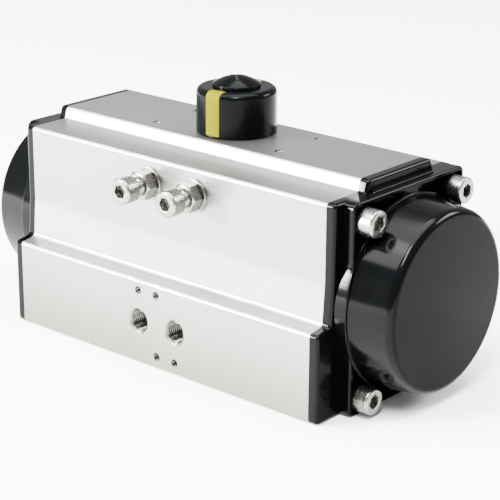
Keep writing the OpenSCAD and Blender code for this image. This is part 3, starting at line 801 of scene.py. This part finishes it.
def make_cup(finish):
    """The cup with four grooves down its side, and a hollow for the top of the shaft."""
    recess, web, hub_r, hollow_z, hollow_r = CUP_TOP - 0.5, 130.0, 9.1, 113.5, 11
    section = [(hollow_r, CUP_FOOT)] + cup_profile(0)
    section += [(KNOB_R + 0.6, CUP_TOP), (KNOB_R + 0.25, CUP_TOP - 0.25), (KNOB_R + 0.2, recess)]
    section += [(3.2, recess), (3.2, web), (hub_r, web), (hub_r, hollow_z), (hollow_r, hollow_z)]
    section += [(hollow_r, CUP_FOOT)]
    bm = bmesh.new()
    lathe(bm, section, 160)
    cup = piece("cup_shell", bm, "shaft", finish, ("indicator_cup",), UPRIGHT)
    tools = []
    for quarter in range(4):
        bm = bmesh.new()
        shell_strip(bm, CUP_ANGLE + 90 * quarter, 4.18, -1.0, 1.75)
        tools.append(make_object("groove", bm))
    cut(cup, tools)
    smooth(cup.data, 40)
    even_shading(cup)


def make_strips(name, first, finish):
    """Two opposite inserts of one colour, just inside their grooves."""
    bm = bmesh.new()
    for quarter in (first, first + 2):
        shell_strip(bm, CUP_ANGLE + 90 * quarter, 3.98, 0.0, 1.7)
    strips = piece(name + "_strips", bm, "shaft", finish, (name + "_inserts",), None, 50)
    round_edges(strips, 0.12, 50, 2)


def make_knob(finish):
    """The screw's low cone, slotted across its tip, and its shank."""
    foot, edge = CUP_TOP - 0.45, KNOB_EDGE + 0.12
    section = [
        (0, foot), (KNOB_R - 0.3, foot), (KNOB_R, foot + 0.25), (KNOB_R, KNOB_EDGE - 0.35),
        (KNOB_R - 0.12, KNOB_EDGE - 0.08), (KNOB_R - 0.5, edge),
    ]
    for t in (0.12, 0.25, 0.4, 0.55, 0.7, 0.82, 0.92):
        rise = math.sin(t * math.pi / 2) ** 0.92
        section.append(((KNOB_R - 0.5) * (1 - t), edge + (KNOB_TOP - edge) * rise))
    section.append((0, KNOB_TOP))
    bm = bmesh.new()
    lathe(bm, section, 128)
    knob = piece("knob", bm, "shaft", finish, ("indicator_screw",), UPRIGHT)
    half, slot_floor, above = 0.9, 136.3, 140
    slit = bmesh.new()
    prism(slit, [(-half, slot_floor), (half, slot_floor), (half, above), (-half, above)], -6, 6)
    slit.transform(Matrix.Rotation(math.radians(-45), 4, "Z"))
    cut(knob, [make_object("slit", slit)])
    smooth(knob.data, 40)
    even_shading(knob)
    bm = bmesh.new()
    lathe(bm, [(2.45, 118.3), (2.45, 131.8)], 32)
    piece("knob_screw", bm, "shaft", finish, (), UPRIGHT)


def make_indicator(finishes):
    make_cup(finishes["indicator_black"])
    make_strips("yellow", 0, finishes["insert_yellow"])
    make_strips("black", 1, finishes["indicator_black"])
    make_knob(finishes["indicator_black"])


# --- threads and springs -----------------------------------------------------

# Core radius, depth of thread, pitch, and how far in a thread starts and ends
PORT = (5.7, 0.9, 1.337, 0.9, 11.9)
M5 = (2.1, 0.3, 0.8, 0.3, 7.9)
M6 = (2.5, 0.35, 1.0, 0.3, 8.9)
M8 = (3.4, 0.45, 1.25, 0.4, 12.9)
PORT_X, PORT_Z, VALVE_RISE = 12, 22.3, 16
TOP_HOLES = [(x, y) for x in (-40, 40) for y in (-15, 15)]
F05_R, F07_R = 25, 35


def make_hole_threads(finish):
    """Helical threads just inside the tapped holes of the body."""
    bm = bmesh.new()

    def tapped(place, size):
        core, depth, pitch, start, end = size
        part = bmesh.new()
        thread(part, core - 0.04, core - 0.04 - depth, pitch, start, end, 64)
        part.transform(place)
        copy_into(bm, part)

    into_front = Matrix.Rotation(math.radians(90), 4, "Z")
    for x in (-PORT_X, PORT_X):
        tapped(Matrix.Translation((x, FRONT_Y, PORT_Z)) @ into_front, PORT)
    for x, rise in ((-PORT_X, VALVE_RISE), (0, VALVE_RISE), (0, -VALVE_RISE), (PORT_X, -VALVE_RISE)):
        tapped(Matrix.Translation((x, FRONT_Y, PORT_Z + rise)) @ into_front, M5)
    down = Matrix.Rotation(math.radians(90), 4, "Y")
    for x, y in TOP_HOLES:
        tapped(Matrix.Translation((x, y, TOP_Z)) @ down, M5)
    up = Matrix.Rotation(math.radians(-90), 4, "Y")
    for quarter in range(4):
        turn = Matrix.Rotation(math.radians(45 + 90 * quarter), 4, "Z")
        tapped(turn @ Matrix.Translation((F07_R, 0, 0)) @ up, M8)
        tapped(turn @ Matrix.Translation((F05_R, 0, 0)) @ up, M6)
    piece("hole_threads", bm, "housing", finish, (), None, 25)


SPRING_X = (66.5, 124.5)
SPRING_PITCH, COIL_R, WIRE_R = 16.3, 9.3, 1.15


def coil(bm, y, z, turns=7, sides=10):
    """A spring along X whose first and last part lie closer, as ground ends do."""
    near, far = SPRING_X
    dead, lead = 0.09, 1.2 * WIRE_R
    steps = 28 * turns
    rings = []
    for k in range(steps + 1):
        t = k / steps
        rise = min(1, max(0, (t - dead) / (1 - 2 * dead)))
        rise = 0.85 * rise + 0.15 * (0.5 - 0.5 * math.cos(math.pi * rise))
        low = near + WIRE_R + lead * min(1, t / dead)
        high = far - WIRE_R - lead * min(1, (1 - t) / dead)
        turn = 2 * math.pi * turns * t
        out = Vector((0, math.cos(turn), math.sin(turn)))
        centre = Vector((low + (high - low) * rise, y, z)) + COIL_R * out
        around = [2 * math.pi * i / sides for i in range(sides)]
        rings.append([
            bm.verts.new(centre + WIRE_R * (math.cos(a) * out + Vector((math.sin(a), 0, 0)))) for a in around
        ])
    stitch(bm, rings, closed=True)


def make_springs(side, sign, finish):
    """Four coils, riding on the housing."""
    bm = bmesh.new()
    for y in (-SPRING_PITCH, SPRING_PITCH):
        for z in (-SPRING_PITCH, SPRING_PITCH):
            coil(bm, y, BORE_Z + z)
    node = "springs_" + side
    mirror = Matrix.Scale(sign, 4, (1, 0, 0))
    obj = piece("coil_" + node, bm, "housing", finish, (node,), mirror, 60)
    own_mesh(obj)


aim_camera()
light_studio()
lay_floor()
FINISH = make_materials()
paint_nodes(FINISH)
soften(NODES["body"], 0.35)
for side, sign in (("left", -1), ("right", 1)):
    make_cap(side, sign, FINISH["cap_black"])
    make_cap_screws(side, sign, FINISH["stainless"])
    make_springs(side, sign, FINISH["spring_steel"])
for side, x in STOPS.items():
    make_stop(side, x, FINISH["stainless"])
make_stop_nuts(STOPS.values(), FINISH["stainless"])
make_indicator(FINISH)
# the hole threads are coloured with painted shade
make_hole_threads(painted_hole_shade())

bpy.context.view_layer.update()
